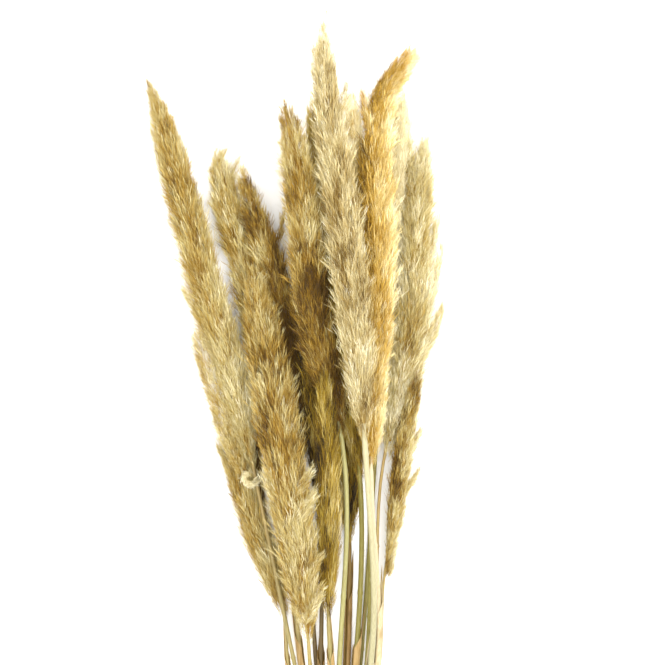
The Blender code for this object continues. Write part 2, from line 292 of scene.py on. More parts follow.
    # noise read at the lock's own root, so that neighbours lean together
    drift = add(cloud, links={"Vector": rootSpot, "Scale": noiseScales["drift"], "Detail": 2.0})
    ruffle = add(vectors, scaled, {
        0: add(vectors, minus, {0: drift.outputs[1], 1: (0.5, 0.5, 0.5)}),
        "Scale": add(maths, times, {0: given["Ruffle"], 1: 4.0})})
    aimed = add(vectors, plus, {
        0: add(vectors, scaled, {0: forward, "Scale": leanCos}),
        1: add(vectors, scaled, {0: outwardUnit, "Scale": lean})})
    aimed = add(vectors, plus, {0: aimed, 1: ruffle})
    aimed = add(vectors, plus, {0: aimed, 1: add(vectors, scaled, {0: sideways, "Scale": given["Sweep"]})})
    facing = add("FunctionNodeAlignRotationToVector", {"axis": "Y", "pivot_axis": "AUTO"}, {"Vector": aimed})
    facing = add("FunctionNodeAlignRotationToVector", {"axis": "Z", "pivot_axis": "Y"}, {
        "Rotation": facing, "Vector": outwardUnit})
    twist = add(maths, timesPlus, {0: chanceB.outputs["Y"], 1: lockHabit["twist"], 2: -lockHabit["twist"] / 2})
    facing = add("FunctionNodeRotateRotation", {"rotation_space": "LOCAL"}, {
        "Rotation": facing, "Rotate By": add(
            "FunctionNodeEulerToRotation", links={0: add(join, links={"Y": twist})})})

    # tone: broad patches along the plume, streaks between locks, painted shade darker near the heart and
    # painted light added towards the right side
    broad = add(cloud, links={"Vector": stretched, "Scale": noiseScales["patches"], "Detail": 1.0})
    patches = add(maths, timesPlus, {0: strands, 1: 0.95, 2: add(maths, times, {0: broad, 1: 1.25})})
    patchTone = add(maths, times, {
        0: add(maths, minus, {0: patches, 1: 1.1}), 1: add(maths, times, {0: given["Patches"], 1: 2.7})})
    ownTone = add(maths, times, {
        0: add(maths, minus, {0: chanceB.outputs["Z"], 1: 0.5}),
        1: add(maths, times, {0: given["Scatter"], 1: 0.42})})
    # painted shade: locks rooted deeper in the plume are toned darker
    paintedDepthShade = add(maths, timesPlus, {0: depth, 1: 0.70, 2: -0.50})
    # painted light: locks made lighter towards the plume's right side, where the light falls, and darker on its
    # left
    paintedSideLight = add(maths, times, {0: cosine, 1: given["Painted Side Light"]})
    pale = add(maths, times, {0: add(maths, {"operation": "POWER"}, {0: chanceC.outputs["Z"], 1: 5.0}), 1: 0.3})
    tone = given["Tone"]
    for part in (patchTone, ownTone, paintedDepthShade, paintedSideLight, pale, carried["lineTone"]):
        tone = add(maths, plus, {0: tone, 1: part})
    grown = add(maths, {"operation": "LESS_THAN"}, {0: chanceC.outputs["X"], 1: carried["lineFill"]})
    places = add(store, {"data_type": "FLOAT", "domain": "POINT"}, {
        "Geometry": spots.outputs["Points"], "Name": "lockTone", "Value": tone})
    which = add(maths, times, {0: chanceC.outputs["Y"], 1: lockHabit["kinds"] - 0.01})
    which = add(maths, {"operation": "FLOOR"}, {0: which})
    shifted = add(move, links={"Geometry": places, "Offset": root})
    coat = add("GeometryNodeInstanceOnPoints", links={
        "Points": shifted, "Selection": grown, "Instance": locks.outputs["Instances"], "Pick Instance": True,
        "Instance Index": which, "Rotation": facing, "Scale": scale})
    coat = add("GeometryNodeRealizeInstances", links={"Geometry": coat})

    # frizz: each hair wavers more the further out it is
    curls = add(cloud, links={"Vector": add(position), "Scale": noiseScales["frizz"], "Detail": 1.0})
    coat = add(move, links={"Geometry": coat, "Offset": add(vectors, scaled, {
        0: add(vectors, minus, {0: curls.outputs[1], 1: (0.5, 0.5, 0.5)}),
        "Scale": add(maths, times, {0: given["Frizz"], 1: carried["hairAlong"]})})})

    # nothing hangs below the surface that the bundle lies on
    final = add(split, links={0: add(position)})
    coat = add(move, links={"Geometry": coat, "Position": add(join, links={
        "X": final.outputs["X"], "Y": final.outputs["Y"],
        "Z": add(maths, {"operation": "MAXIMUM"}, {0: final.outputs["Z"], 1: lockHabit["floor"]})})})

    # tone across and root to tip up, kept as the piece's own map for its material
    mixed = add(maths, plus, {0: carried["lockTone"], 1: add(maths, timesPlus, {
        0: carried["hairTone"], 1: 0.18, 2: -0.09})})
    held = add("ShaderNodeClamp", links={"Value": mixed, "Min": 0.02, "Max": 0.98})
    mapAcross = add(maths, plus, {0: held, 1: add(maths, times, {0: carried["hairSide"], 1: 0.004})})
    mapUp = add(maths, timesPlus, {0: carried["hairAlong"], 1: 0.96, 2: 0.02})
    coat = add(store, {"data_type": "FLOAT2", "domain": "CORNER"}, {
        "Geometry": coat, "Name": "OFBake", "Value": add(join, links={"X": mapAcross, "Y": mapUp})})

    # the heart: a closed core toned darker than its plume, painted shade that shows as depth between the locks
    heartNoise = add(cloud, links={"Vector": add(position), "Scale": noiseScales["heart"]})
    paintedHeartShade = add(maths, {**timesPlus, "use_clamp": True}, {0: given["Tone"], 1: 0.9, 2: -0.25})
    heartMap = add(join, links={
        "X": add(maths, timesPlus, {0: heartNoise, 1: 0.2, 2: paintedHeartShade}),
        "Y": add(maths, timesPlus, {
            0: add(split, links={0: heartNoise.outputs[1]}).outputs["Z"], 1: 0.3, 2: 0.02})})
    heart = add(store, {"data_type": "FLOAT2", "domain": "CORNER"}, {
        "Geometry": parted.outputs["Selection"], "Name": "OFBake", "Value": heartMap})
    both = add("GeometryNodeJoinGeometry")
    tree.links.new(coat.outputs[0], both.inputs[0])
    tree.links.new(heart.outputs[0], both.inputs[0])
    both = add("GeometryNodeSetShadeSmooth", links={"Geometry": both})
    both = add("GeometryNodeRealizeInstances", links={"Geometry": both})
    both = add("GeometryNodeSetMaterial", links={"Geometry": both, "Material": given["Hair Material"]})
    tree.links.new(both.outputs[0], result.inputs[0])
    return tree


def fineRings(rings, step):
    # the same rings at a finer step, eased between the CAD's own
    fine = []
    for (a, wideA, tallA), (b, wideB, tallB) in zip(rings, rings[1:]):
        cuts = max(1, round((b - a).length / step))
        fine += [(a.lerp(b, k / cuts), wideA + (wideB - wideA) * k / cuts, tallA + (tallB - tallA) * k / cuts)
                 for k in range(cuts)]
    return fine + [rings[-1]]


def valueAt(steps, share):
    for (shareA, valueA), (shareB, valueB) in zip(steps, steps[1:]):
        if share <= shareB:
            return valueA + (valueB - valueA) * max(0, share - shareA) / (shareB - shareA)
    return steps[-1][1]


def plumeGuide(name, rings, tones, shape, extras=()):
    # centre line with the plume's half width and height, then its wisps, then the closed heart
    points, edges, faces, marks = [], [], [], []
    foot, tip = rings[0][0].y, rings[-1][0].y
    shift, widths = [(s, x) for s, x, _ in shape], [(s, w) for s, _, w in shape]
    for index, (centre, halfWide, halfTall) in enumerate(fineRings(rings, 0.005)):
        left, rise = tip - centre.y, centre.y - foot
        share = 1 - left / (tip - foot)
        fill = (0.40 + 0.60 * min(1, halfWide / plumeEnds["fullHalfWidth"])) * min(
            1, left / plumeEnds["thinTip"]) * (0.12 + 0.88 * min(1, rise / plumeEnds["thinFoot"]))
        size = (0.50 + 0.50 * min(1, left / plumeEnds["shortTip"])) * (
            0.55 + 0.45 * min(1, rise / plumeEnds["shortFoot"]))
        points.append(centre + Vector((valueAt(shift, share), 0, 0)))
        marks.append((valueAt(widths, share) * halfWide / ringFit[8], halfTall / ringFit[8], fill,
                      valueAt(tones, share), size, False))
        if index:
            edges.append((len(points) - 2, len(points) - 1))
    for line in extras:
        for index, (x, y, above, halfWide, fill, tone, *size) in enumerate(line):
            x, y, above, halfWide = x / 1000, y / 1000, above / 1000, halfWide / 1000
            points.append(Vector((x, y, lineAt(rings, min(y, tip + 0.01))[0].z + above)))
            marks.append((halfWide, halfWide * 0.8, fill, tone, size[0] if size else 0.62, False))
            if index:
                edges.append((len(points) - 2, len(points) - 1))
    sides = plumeHeart["sides"]
    first = len(points)
    inner = rings[1:-1]
    for index, (centre, halfWide, halfTall) in enumerate(inner):
        rise = centre.y - foot
        share = plumeHeart["share"] * (1 - plumeHeart["thinning"] * index / len(inner)) * min(
            1, plumeHeart["footShare"] + rise / plumeHeart["footRun"])
        middle = centre + Vector((valueAt(shift, rise / (tip - foot)), 0, 0))
        halfWide *= valueAt(widths, rise / (tip - foot))
        for k in range(sides):
            a = 2 * math.pi * k / sides
            points.append(middle + Vector((math.cos(a) * halfWide * share, 0, math.sin(a) * halfTall * share)))
            marks.append((0, 0, 0, 0, 0, True))
    for row in range(len(inner) - 1):
        for k in range(sides):
            a, b = first + row * sides + k, first + row * sides + (k + 1) % sides
            faces.append((a, a + sides, b + sides, b))
    faces.append([first + k for k in range(sides)])
    faces.append([first + (len(inner) - 1) * sides + k for k in reversed(range(sides))])
    mesh = bpy.data.meshes.new(name)
    mesh.from_pydata(points, edges, faces)
    for slot, label in enumerate(("lineWide", "lineTall", "lineFill", "lineTone", "lineScale", "heart")):
        kind = "BOOLEAN" if label == "heart" else "FLOAT"
        mesh.attributes.new(label, kind, "POINT").data.foreach_set("value", [m[slot] for m in marks])
    return mesh


# dried pampas plume: dull silky hair with no gloss of its own, translucent cream at the tips and golden
# brown towards the root, partly the hair's own colour and partly painted shade where it lies deep
def plumeHair(name, shades):
    material, tree, shader = startMaterial(name)
    place = addNode(tree, split, links={0: addNode(tree, "ShaderNodeUVMap", {"uv_map": "OFBake"})})
    ramp = addNode(tree, "ShaderNodeValToRGB", links={0: place.outputs["X"]})
    while len(ramp.color_ramp.elements) < len(shades):
        ramp.color_ramp.elements.new(0.5)
    for element, (stop, colour) in zip(ramp.color_ramp.elements, shades):
        element.position, element.color = stop, linear(colour)
    # each hair is tinted darker towards its root: partly its own colour, partly painted shade deep in the plume
    rise = addNode(tree, "ShaderNodeMapRange", {"interpolation_type": "SMOOTHSTEP"}, {
        "Value": place.outputs["Y"], "From Min": 0.0, "From Max": 0.9})
    depth = addNode(tree, "ShaderNodeMix", {"data_type": "RGBA"}, {
        0: rise, 6: linear("#e2d6ac"), 7: (1.01, 1.025, 1.02, 1.0)})
    mixed = addNode(tree, "ShaderNodeMix", {"data_type": "RGBA", "blend_type": "MULTIPLY"}, {
        0: 1.0, 6: ramp.outputs["Color"], 7: depth.outputs[2]})
    tree.links.new(mixed.outputs[2], shader.inputs["Base Color"])
    shader.inputs["Roughness"].default_value = 0.62
    shader.inputs["IOR"].default_value = 1.5
    shader.inputs["Specular IOR Level"].default_value = 0.25
    shader.inputs["Sheen Weight"].default_value = 0.12
    shader.inputs["Sheen Roughness"].default_value = 0.45
    return material


hairFinishes = {
    "cream": plumeHair("creamPampasHair", (
        (0.0, "#6a4c0c"), (0.10, "#aa9152"), (0.28, "#c8b686"),
        (0.5, "#dfd3a8"), (0.75, "#f2ecd4"), (1.0, "#fdfbee"))),
    "tan": plumeHair("tanPampasHair", (
        (0.0, "#442e02"), (0.10, "#906b12"), (0.28, "#b69646"),
        (0.5, "#cdbd82"), (0.75, "#e4dab0"), (1.0, "#fbf5da"))),
    "golden": plumeHair("goldenPampasHair", (
        (0.0, "#5c4004"), (0.10, "#a07a16"), (0.28, "#c49c38"),
        (0.5, "#dcc074"), (0.75, "#f0e1ac"), (1.0, "#fdf6d8"))),
    # a darker copy of the same hair for the plumes lying low between the others: painted shade
    "brown": plumeHair("shadedPampasHair", (
        (0.0, "#160c00"), (0.10, "#4e3a02"), (0.28, "#8a6c0c"),
        (0.5, "#b09432"), (0.75, "#d4c07a"), (1.0, "#efe2b2"))),
}

# of each plume: finish, tone, painted light added towards its right side, where the light falls, patches,
# scatter, reach, sweep to the right and tone along it
plumeLooks = {
    "01": ("tan", 0.28, 0.00, 0.40, 0.36, 0.72, -0.02, ((0.0, -0.05), (0.6, 0.0), (1.0, 0.20))),
    # plume 02 is toned far darker towards its foot: painted shade where it lies deep under the others
    "02": ("tan", 0.16, 0.00, 0.44, 0.36, 0.78, 0.00, ((0.0, -0.5), (0.4, -0.4), (0.6, -0.05), (1.0, 0.14))),
    "03": ("brown", 0.28, 0.00, 0.50, 0.44, 0.64, 0.00, ((0.0, 0.05), (0.5, -0.10), (1.0, 0.0))),
    "04": ("golden", 0.90, 0.06, 0.30, 0.30, 0.92, 0.02, ((0.0, -0.1), (0.5, 0.0), (1.0, 0.0))),
    "05": ("tan", 0.52, 0.08, 0.42, 0.38, 0.88, 0.05, ((0.0, 0.22), (0.5, 0.0), (1.0, 0.05))),
    "06": ("tan", 0.32, 0.14, 0.46, 0.46, 0.62, 0.05, ((0.0, 0.0), (0.5, 0.0), (1.0, 0.0))),
    "07": ("brown", 0.15, 0.14, 0.60, 0.42, 0.58, 0.00, ((0.0, 0.20), (0.4, -0.05), (1.0, -0.05))),
    "08": ("brown", 0.34, 0.00, 0.44, 0.40, 0.74, 0.00, ((0.0, -0.10), (0.6, 0.05), (1.0, 0.22))),
    "09": ("tan", 0.32, 0.00, 0.34, 0.34, 0.80, 0.00,
           ((0.0, -0.34), (0.40, -0.28), (0.60, -0.02), (0.70, 0.04), (0.86, 0.06), (0.94, -0.20), (1.0, 0.0))),
    "10": ("golden", 0.60, 0.00, 0.34, 0.34, 0.86, 0.00, ((0.0, -0.1), (0.5, 0.0), (1.0, 0.1))),
    "11": ("tan", 0.28, 0.00, 0.26, 0.38, 0.55, -0.02, ((0.0, 0.05), (1.0, 0.0))),
    "12": ("brown", 0.29, 0.12, 0.60, 0.46, 0.52, 0.00, ((0.0, 0.16), (1.0, -0.14))),
    "13": ("tan", 0.30, 0.04, 0.25, 0.38, 0.84, -0.03,
           ((0.0, 0.30), (0.3, 0.24), (0.5, 0.0), (0.8, 0.09), (1.0, 0.06))),
    "14": ("golden", 0.38, 0.34, 0.34, 0.30, 0.84, 0.02,
           ((0.0, 0.12), (0.4, -0.10), (0.8, -0.02), (0.9, 0.14), (1.0, 0.3))),
    "15": ("tan", 0.31, 0.02, 0.34, 0.42, 0.86, 0.02,
           ((0.0, 0.08), (0.3, 0.12), (0.5, -0.10), (0.7, -0.10), (1.0, 0.03))),
    "16": ("cream", 0.21, 0.00, 0.38, 0.38, 0.70, -0.03, ((0.0, 0.10), (0.5, -0.06), (1.0, 0.20))),
}

# where the hair does not lie evenly round the CAD's plume: share along it, shift to the right and width
plumeShapes = {
    "01": ((0.0, 0.0, 1.0), (0.4, 0.0015, 0.90), (0.6, 0.0030, 0.86), (0.8, -0.0005, 0.92), (1.0, -0.002, 1.0)),
    "02": ((0.0, 0.0, 1.0), (0.6, -0.002, 0.92), (0.85, -0.004, 0.80), (1.0, -0.003, 1.0)),
    "05": ((0.0, 0.003, 0.85), (0.3, 0.0025, 1.0), (0.45, 0.0, 0.95), (0.7, -0.004, 0.78), (1.0, 0.0, 1.1)),
    "06": ((0.0, 0.001, 0.12), (0.2, 0.0005, 0.40), (0.4, -0.001, 0.60), (0.8, -0.003, 0.74),
           (1.0, -0.002, 1.0)),
    "07": ((0.0, 0.0, 0.80), (0.5, 0.0, 0.80), (1.0, 0.0, 1.0)),
    "11": ((0.0, 0.0, 1.0), (0.3, -0.0005, 0.96), (0.7, 0.002, 0.88), (1.0, 0.004, 0.8)),
    "12": ((0.0, 0.0, 1.0), (0.5, 0.0, 0.85), (1.0, 0.0, 0.9)),
    "13": ((0.0, 0.0, 1.0), (0.3, -0.001, 1.0), (0.4, -0.0045, 0.98), (0.5, -0.0060, 0.96),
           (0.75, -0.0052, 0.94), (0.9, -0.0035, 0.90), (1.0, -0.003, 1.0)),
    "15": ((0.0, 0.0, 1.0), (0.5, 0.0, 0.96), (1.0, 0.0, 1.0)),
    "16": ((0.0, 0.0, 1.0), (0.4, 0.0015, 0.90), (0.75, -0.001, 0.80), (0.9, 0.0, 0.72), (1.0, 0.0, 0.8)),
}
evenShape = ((0.0, 0.0, 1.0), (1.0, 0.0, 1.0))

# wisps and tufts that stand off their plume: points on the way out, each with its place from above, height
# over the plume's centre line and half width in millimetres, fill, tone and, for the curled knot, lock size
wisps = {
    "01": (
        ((-73, 270, 0, 4, 0.40, 0.10), (-71, 284, 0, 3.4, 0.25, 0.20),
         (-67, 296, 0, 2, 0.12, 0.25), (-64, 302, 0, 0.8, 0.04, 0.25)),
        ((-66, 262, 0, 4, 0.35, 0.10), (-58, 276, 0, 3, 0.20, 0.20), (-53, 290, 0, 1, 0.06, 0.25)),
    ),
    "02": (
        # the first wisp lies 6 mm under the plume and is toned dark: painted shade filling the deep gap between
        # plumes
        ((6, 18, -6, 8, 0.90, -0.40), (5, 50, -6, 9, 1.00, -0.40), (3, 90, -6, 8, 0.90, -0.40)),
        ((-43, 254, 0, 4, 0.40, 0.10), (-46, 268, 0, 3, 0.22, 0.22), (-47, 280, 0, 1, 0.06, 0.30)),
        ((-14, 214, 0, 3, 0.30, 0.12), (-11, 230, 0, 2, 0.18, 0.22), (-9, 240, 0, 0.8, 0.05, 0.30)),
    ),
    "04": (
        ((89, 190, 8, 6, 1.00, 0.10), (93, 240, 8, 6.6, 1.00, 0.10),
         (97, 290, 8, 6, 0.90, 0.10), (99, 330, 8, 3, 0.40, 0.10)),
        ((98, 300, 2, 6, 0.80, 0.10), (99, 326, 2, 5, 0.60, 0.10), (100, 348, 2, 1.6, 0.16, 0.10)),
    ),
    "05": (
        ((111, 106, 0, 5.5, 0.70, 0.00), (122, 124, 0, 5.2, 0.60, 0.08),
         (129, 139, 0, 3.6, 0.40, 0.16), (133.5, 150, 0, 2, 0.22, 0.20), (134.5, 157, 0, 0.8, 0.06, 0.25)),
        ((105, 270, 0, 4, 0.45, 0.00), (106, 288, 0, 3.4, 0.30, 0.10), (107, 304, 0, 1.2, 0.10, 0.15)),
        ((119, 146, 0, 4.5, 0.50, 0.10), (128, 172, 0, 3.6, 0.35, 0.20),
         (133, 200, 0, 2, 0.16, 0.25), (135, 212, 0, 0.8, 0.05, 0.25)),
        ((120, 190, 0, 4.5, 0.45, 0.10), (127, 216, 0, 3.4, 0.30, 0.20), (132, 238, 0, 1.4, 0.12, 0.25)),
        ((117, 270, 0, 5, 0.50, 0.00), (119, 292, 0, 4, 0.40, 0.05), (121, 308, 0, 1.6, 0.20, 0.10)),
    ),
    "06": (
        ((101, 18, 0, 3, 0.40, 0.10), (108, 30, 0, 3, 0.30, 0.25), (115, 45, 0, 1.2, 0.12, 0.30)),
        ((97, -18, 0, 3, 0.40, 0.10), (105, -6, 0, 3, 0.32, 0.20), (112, 6, 0, 1.2, 0.12, 0.30)),
        ((90, -58, 0, 2.6, 0.40, 0.10), (95, -44, 0, 2.6, 0.25, 0.30), (99, -30, 0, 1.2, 0.10, 0.30)),
        ((86, -92, 0, 2.2, 0.40, 0.10), (90, -76, 0, 2.2, 0.25, 0.30), (93, -64, 0, 1, 0.10, 0.30)),
    ),
    "11": (
        # the first wisp lies 5 mm under the plume and is toned dark: painted shade filling the deep gap between
        # plumes
        ((-26, -80, -5, 5, 0.90, -0.40), (-32, -30, -5, 6.6, 1.00, -0.45), (-37, 30, -5, 6.6, 1.00, -0.40)),
        ((-49, -22, 0, 4, 0.60, 0.05), (-60, 9, 0, 3.2, 0.45, 0.10), (-67, 26, 0, 1, 0.12, 0.20)),
    ),
    "13": (
        ((-46, 4, 0, 5, 0.60, 0.10), (-56, 34, 0, 10, 0.90, 0.20),
         (-65, 66, 0, 12, 0.90, 0.20), (-76, 100, 0, 10, 0.70, 0.16), (-87, 130, 0, 5, 0.30, 0.12)),
        ((-78, 134, 0, 4, 0.40, 0.05), (-89, 156, 0, 3, 0.30, 0.12), (-100, 172, 0, 1, 0.10, 0.20)),
        ((-122, 326, 0, 3, 0.30, -0.10), (-129, 348, 0, 2.2, 0.30, -0.14), (-133, 362, 0, 1, 0.12, -0.18)),
        ((-121, 284, 0, 2.6, 0.20, 0.05), (-127, 308, 0, 1.6, 0.10, 0.16), (-131, 322, 0, 0.8, 0.04, 0.20)),
        tuple((-39.5 + (3.0 + 0.22 * k) * math.cos(0.5 + 0.52 * k),  # the curled knot
               2.5 + (3.0 + 0.22 * k) * math.sin(0.5 + 0.52 * k), 6, 2.8, 0.9, 0.6, 0.34) for k in range(11)),
    ),
    "14": (
        ((70, 316, 0, 8.5, 0.80, -0.05), (80, 344, 0, 12, 1.00, -0.05),
         (92, 362, 0, 12.5, 1.00, 0.06), (101, 375, 0, 9.5, 0.90, 0.16), (107, 384, 0, 5.6, 0.50, 0.20)),
        ((69, 318, 0, 5, 0.50, 0.05), (66, 334, 0, 4.2, 0.35, 0.16), (64, 346, 0, 1.6, 0.12, 0.22)),
    ),
    "15": (
        ((-4, -16, 8, 5, 0.30, 0.15), (6, -4, 8, 5.2, 0.32, 0.30), (14, 8, 7, 2.6, 0.16, 0.45)),
        ((-3, -44, 8, 5.5, 0.30, 0.15), (8, -28, 8, 5.6, 0.42, 0.42), (18, -11, 7, 2.6, 0.22, 0.55)),
        ((10, -90, 7, 4.5, 0.22, 0.08), (17, -78, 7, 4, 0.22, 0.22), (22, -68, 6, 1.8, 0.10, 0.30)),
        ((10, -128, 6, 4.5, 0.25, 0.08), (18, -114, 6, 4, 0.26, 0.22), (24, -102, 5, 1.8, 0.12, 0.30)),
    ),
    "16": (
        ((25, 374, 0, 5, 0.30, 0.10), (27, 392, 0, 4.2, 0.18, 0.20),
         (29, 406, 0, 2.6, 0.10, 0.25), (30, 418, 0, 1, 0.03, 0.25)),
        ((21, 356, 0, 4, 0.25, 0.10), (20, 378, 0, 2.6, 0.14, 0.20), (20, 390, 0, 1, 0.04, 0.25)),
        ((40, 322, 0, 4.5, 0.40, 0.10), (45, 338, 0, 3.6, 0.25, 0.20), (47, 350, 0, 1.2, 0.08, 0.25)),
    ),
}

hairTree = plumeTree()
triangles = 0
for number, (finish, tone, paintedSideLight, patches, scatter, reach, sweep, tones) in plumeLooks.items():
    name = "plume_" + number
    guide = plumeGuide(
        name + "_guide", ringsOf(name), tones, plumeShapes.get(number, evenShape), wisps.get(number, ()))
    shaded = finish == "brown"
    piece = growPiece("plumeHairs_" + number, guide, hairTree, {
        **plumeSizes, **(shadedPlumeSizes if shaded else {}), "Tone": tone, "Painted Side Light": paintedSideLight,
        "Patches": patches, "Scatter": scatter, "Reach": reach, "Sweep": sweep, "Seed": int(number),
        "Stretch": 0.12 if shaded else 0.3, "Hair Material": hairFinishes[finish]})
    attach(piece, "root")
    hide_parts(name)
    piece.data.calc_loop_triangles()
    triangles += len(piece.data.loop_triangles)
    print(name, len(piece.data.loop_triangles), "triangles")
print("plumes grown:", triangles, "triangles")


# canes: round dry stems swept along the CAD's centre lines, with a ring at every joint and pith at the cut

caneSizes = {
    "Step": 0.002,
    "Sides": 14,
    "Joint Spacing": 0.118,
    "Joint Height": 0.00045,
    "Joint Width": 0.0016,
}
caneInset = 0.97  # a round cane's radius over the half height of its CAD ring


def caneTree():
    tree, given, result = startTree("caneSkin", {
        **caneSizes, "First Joint": 0.0, "Cane Material": None, "Pith Material": None})
    given = given.outputs

    def add(kind, settings=None, links=None):
        return addNode(tree, kind, settings, links)

    line = add("GeometryNodeMeshToCurve", links={"Mesh": given["Geometry"]})
    line = add("GeometryNodeResampleCurve", {"mode": "LENGTH"}, {"Curve": line, "Length": given["Step"]})
    line = add(store, {"data_type": "FLOAT", "domain": "POINT"}, {
        "Geometry": line, "Name": "caneAlong", "Value": add("GeometryNodeSplineParameter").outputs["Length"]})
    ring = add("GeometryNodeCurvePrimitiveCircle", links={"Resolution": given["Sides"], "Radius": 1.0})
    radius = add("GeometryNodeInputNamedAttribute", {"data_type": "FLOAT"}, {"Name": "caneRadius"})
    tube = add("GeometryNodeCurveToMesh", links={
        "Curve": line, "Profile Curve": ring, "Scale": radius, "Fill Caps": True})
    along = add("GeometryNodeInputNamedAttribute", {"data_type": "FLOAT"}, {"Name": "caneAlong"})
    turns = add(maths, over, {0: add(maths, plus, {
        0: along, 1: given["First Joint"]}), 1: given["Joint Spacing"]})
    part = add(maths, {"operation": "FRACT"}, {0: turns})
    away = add(maths, times, {0: add(maths, minus, {
        0: part, 1: 0.5}), 1: given["Joint Spacing"]})
    shape = add(maths, over, {0: away, 1: given["Joint Width"]})
    fall = add(maths, {"operation": "EXPONENT"}, {0: add(maths, times, {
        0: add(maths, times, {0: shape, 1: shape}), 1: -1.0})})
    swell = add(vectors, scaled, {0: add("GeometryNodeInputNormal"), "Scale": add(
        maths, times, {0: fall, 1: given["Joint Height"]})})
    corners = add("GeometryNodeInputMeshFaceNeighbors").outputs["Vertex Count"]
    isCut = add("FunctionNodeCompare", {"data_type": "INT", "operation": "GREATER_THAN"}, {2: corners, 3: 4})
    isSide = add("FunctionNodeCompare", {"data_type": "INT", "operation": "LESS_EQUAL"}, {2: corners, 3: 4})
    tube = add(move, links={"Geometry": tube, "Offset": swell})
    tube = add("GeometryNodeSetShadeSmooth", links={"Geometry": tube, "Shade Smooth": isSide})
    tube = add("GeometryNodeRealizeInstances", links={"Geometry": tube})
    tube = add("GeometryNodeSetMaterial", links={"Geometry": tube, "Material": given["Cane Material"]})
    tube = add("GeometryNodeSetMaterial", links={
        "Geometry": tube, "Selection": isCut, "Material": given["Pith Material"]})
    tree.links.new(tube.outputs[0], result.inputs[0])
    return tree


# dried grass cane: hard waxy skin with fine lengthwise fibres, satin where it catches the light, spotted
# and darker in places with age
def caneSkin(name, body, streak, foot):
    material, tree, shader = startMaterial(name)
    where = addNode(tree, "ShaderNodeTexCoord").outputs["Object"]
    fibreMap = addNode(tree, "ShaderNodeMapping", links={"Vector": where, "Scale": (1.0, 0.02, 1.0)})
    fibres = addNode(tree, cloud, links={  # fibres about 0.6 mm wide and 30 mm long
        "Vector": fibreMap, "Scale": 1600.0, "Detail": 3.0, "Roughness": 0.6})
    ageMap = addNode(tree, "ShaderNodeMapping", links={"Vector": where, "Scale": (1.0, 0.25, 1.0)})
    age = addNode(tree, cloud, links={"Vector": ageMap, "Scale": 150.0, "Detail": 3.0})
    height = addNode(tree, split, links={0: where}).outputs["Y"]
    low = addNode(tree, "ShaderNodeMapRange", links={
        "Value": height, "From Min": -0.03, "From Max": -0.14, "To Min": 0.0, "To Max": 1.0})
    skin = addNode(tree, "ShaderNodeMix", {"data_type": "RGBA"}, {0: low, 6: linear(body), 7: linear(foot)})
    fibreShare = addNode(tree, "ShaderNodeMapRange", links={
        "Value": fibres, "From Min": 0.40, "From Max": 0.70, "To Min": 0.0, "To Max": 0.6})
    striped = addNode(tree, "ShaderNodeMix", {"data_type": "RGBA"}, {
        0: fibreShare, 6: skin.outputs[2], 7: linear(streak)})
    ageShare = addNode(tree, "ShaderNodeMapRange", links={
        "Value": age, "From Min": 0.58, "From Max": 0.80, "To Min": 0.0, "To Max": 0.45})
    aged = addNode(tree, "ShaderNodeMix", {"data_type": "RGBA", "blend_type": "MULTIPLY"}, {
        0: ageShare, 6: striped.outputs[2], 7: linear("#a2783c")})
    bump = addNode(tree, "ShaderNodeBump", links={"Strength": 0.5, "Distance": 0.0002, "Height": fibres})
    gloss = addNode(tree, "ShaderNodeMapRange", links={"Value": fibres, "To Min": 0.36, "To Max": 0.52})
    tree.links.new(aged.outputs[2], shader.inputs["Base Color"])
    tree.links.new(gloss.outputs[0], shader.inputs["Roughness"])
    tree.links.new(bump.outputs[0], shader.inputs["Normal"])
    shader.inputs["IOR"].default_value = 1.48
    return material


# cut pith: soft pale cells, matt
def pithFace():
    material, tree, shader = startMaterial("cutGrassPith")
    cells = addNode(tree, "ShaderNodeTexVoronoi", links={  # cells about 0.4 mm across
        "Vector": addNode(tree, "ShaderNodeTexCoord").outputs["Object"], "Scale": 2500.0})
    shades = addNode(tree, "ShaderNodeMix", {"data_type": "RGBA"}, {
        0: cells.outputs["Distance"], 6: linear("#c8bc98"), 7: linear("#927a46")})
    bump = addNode(tree, "ShaderNodeBump", links={
        "Strength": 0.4, "Distance": 0.0002, "Height": cells.outputs["Distance"]})
    tree.links.new(shades.outputs[2], shader.inputs["Base Color"])
    tree.links.new(bump.outputs[0], shader.inputs["Normal"])
    shader.inputs["Roughness"].default_value = 0.9
    return material


caneFinishes = {
    "straw": caneSkin("strawCaneSkin", "#9b8146", "#b8a26a", "#8a7a42"),
    "rust": caneSkin("rustStrawCaneSkin", "#8d763d", "#ab9660", "#7f7440"),
    "leafGreen": caneSkin("paleGreenCaneSkin", "#9f9960", "#b5af7c", "#938d52"),
    "olive": caneSkin("oliveCaneSkin", "#7b7028", "#978d48", "#6c6424"),
    "greyGreen": caneSkin("greyGreenCaneSkin", "#a39b76", "#bbb38e", "#96906a"),
    "ivory": caneSkin("ivoryCaneSkin", "#bdae8a", "#cfc3a2", "#ae9c70"),
    "ochre": caneSkin("ochreCaneSkin", "#725614", "#8f7430", "#624c14"),
    # a darker copy of the cane skin for the canes that lie in the shadow of the others: painted shade
    "shadedUmber": caneSkin("shadedUmberCaneSkin", "#5a4410", "#7a602a", "#4c3c12"),
}
caneLooks = {
    "01": "straw", "02": "shadedUmber", "03": "ochre", "04": "olive", "05": "straw", "06": "straw", "07": "shadedUmber",
    "08": "olive", "09": "leafGreen", "10": "olive", "11": "straw", "12": "rust", "13": "rust", "14": "ivory",
    "15": "straw", "16": "greyGreen",
}
pith = pithFace()
skinTree = caneTree()
